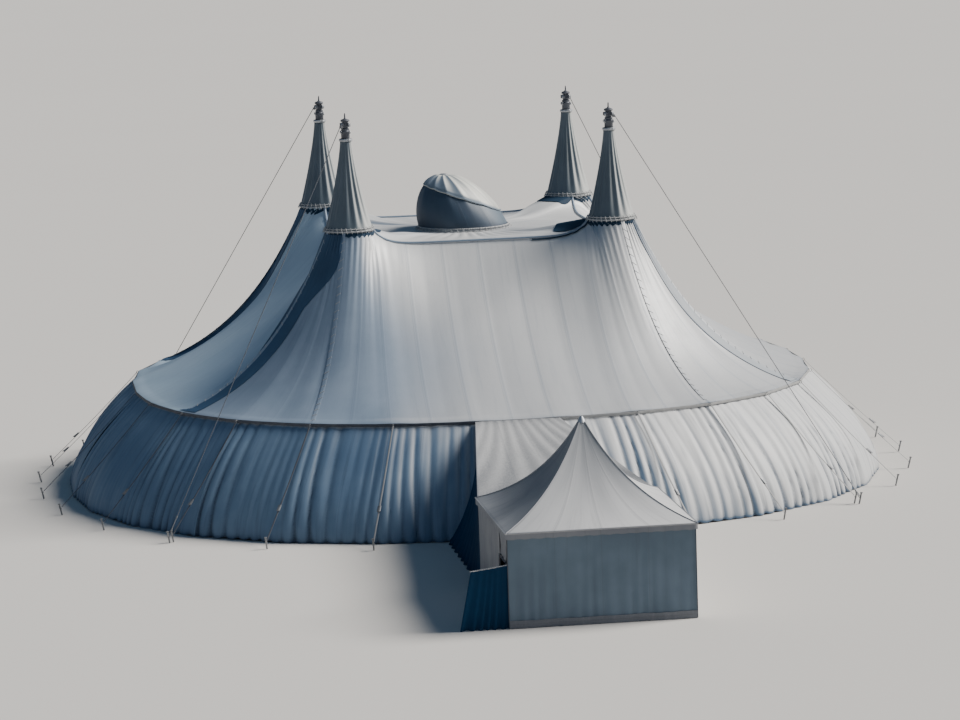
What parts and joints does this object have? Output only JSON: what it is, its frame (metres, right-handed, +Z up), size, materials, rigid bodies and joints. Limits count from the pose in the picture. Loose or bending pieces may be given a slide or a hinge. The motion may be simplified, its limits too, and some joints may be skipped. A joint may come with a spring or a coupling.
{
  "type": "circus big top tent, 1:2 scale model",
  "caption": "Round four-mast big top with a peaked membrane roof, cupola, pleated side walls, guyed eave and a covered entrance annexe, made at half size.",
  "frame": {"origin": "middle of the footprint's bounding box, on the ground", "axes": "+Z up, -Y out of the entrance annexe's front wall, +X to the right of someone who faces the tent's front"},
  "size_m": [16.4836, 23.2718, 7],
  "materials": {
    "canopy_membrane": "silver-grey coated membrane, satin, with welded seams",
    "cone_membrane": "silver-grey coated membrane drawn up the masts",
    "wall_membrane": "blue-grey coated curtain, hung in pleats",
    "annexe_membrane": "light grey coated membrane",
    "blue_curtain": "dark blue coated curtain",
    "front_curtain": "slate blue coated curtain, bare of lettering",
    "pole_steel": "galvanised steel tube",
    "stay_steel": "galvanised wire rope",
    "mast_paint": "dark painted steel",
    "guy_webbing": "dark woven belt and straps with steel stakes"
  },
  "bodies": {
    "root": {"mast_front_right": "mast_paint", "mast_cone_front_right": "cone_membrane", "mast_stay_front_right": "stay_steel", "canopy_corner_front_right": "canopy_membrane", "mast_back_right": "mast_paint", "mast_cone_back_right": "cone_membrane", "mast_stay_back_right": "stay_steel", "canopy_corner_back_right": "canopy_membrane", "mast_back_left": "mast_paint", "mast_cone_back_left": "cone_membrane", "mast_stay_back_left": "stay_steel", "canopy_corner_back_left": "canopy_membrane", "mast_front_left": "mast_paint", "mast_cone_front_left": "cone_membrane", "mast_stay_front_left": "stay_steel", "canopy_corner_front_left": "canopy_membrane", "canopy_front": "canopy_membrane", "side_poles_front": "pole_steel", "guys_front": "guy_webbing", "canopy_right": "canopy_membrane", "side_poles_right": "pole_steel", "guys_right": "guy_webbing", "canopy_back": "canopy_membrane", "side_poles_back": "pole_steel", "guys_back": "guy_webbing", "canopy_left": "canopy_membrane", "side_poles_left": "pole_steel", "guys_left": "guy_webbing", "wall_front_right": "wall_membrane", "wall_right_front": "wall_membrane", "wall_right_back": "wall_membrane", "wall_back_right": "wall_membrane", "wall_back_left": "wall_membrane", "wall_left_back": "wall_membrane", "wall_left_front": "wall_membrane", "wall_front_left": "wall_membrane", "crown": "canopy_membrane", "cupola_ring": "pole_steel", "cupola_dome": "cone_membrane", "annexe_roof": "annexe_membrane", "annexe_frame": "pole_steel", "annexe_front_wall": "front_curtain", "annexe_left_wall": "annexe_membrane", "annexe_right_wall": "annexe_membrane", "annexe_door_flap": "blue_curtain", "link_roof": "annexe_membrane", "link_left_wall": "blue_curtain", "link_right_wall": "annexe_membrane"}
  },
  "joints": []
}
